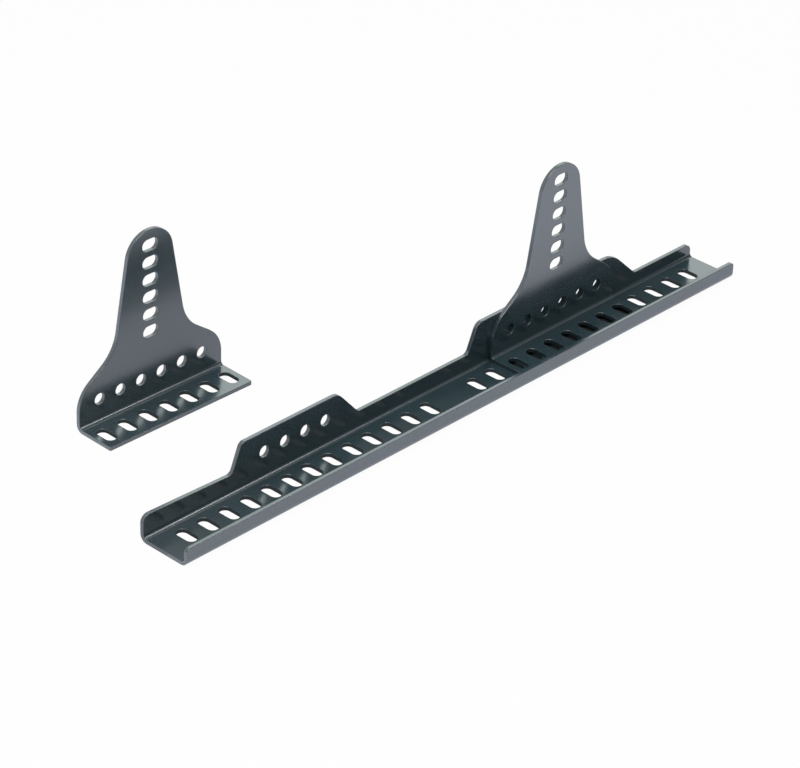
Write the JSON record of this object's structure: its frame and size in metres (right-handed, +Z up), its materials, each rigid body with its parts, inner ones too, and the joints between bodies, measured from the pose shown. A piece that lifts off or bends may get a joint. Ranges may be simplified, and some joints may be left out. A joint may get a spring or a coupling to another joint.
{
  "type": "seat side mount",
  "caption": "Folded steel side mount: a slotted channel rail with raised, drilled tabs, an angle bracket set in the channel and its twin standing free behind it.",
  "frame": {"origin": "middle of the rail's underside, half-way along its length and half-way across its width", "axes": "+X along the rail towards the end nearer the seated bracket, +Y towards the rail's tall flange, +Z up"},
  "size_m": [0.578, 0.1808, 0.143],
  "materials": {
    "paint": "gloss"
  },
  "bodies": {
    "root": {"rail": "paint", "rear_bracket": "paint", "front_bracket": "paint"}
  },
  "joints": []
}
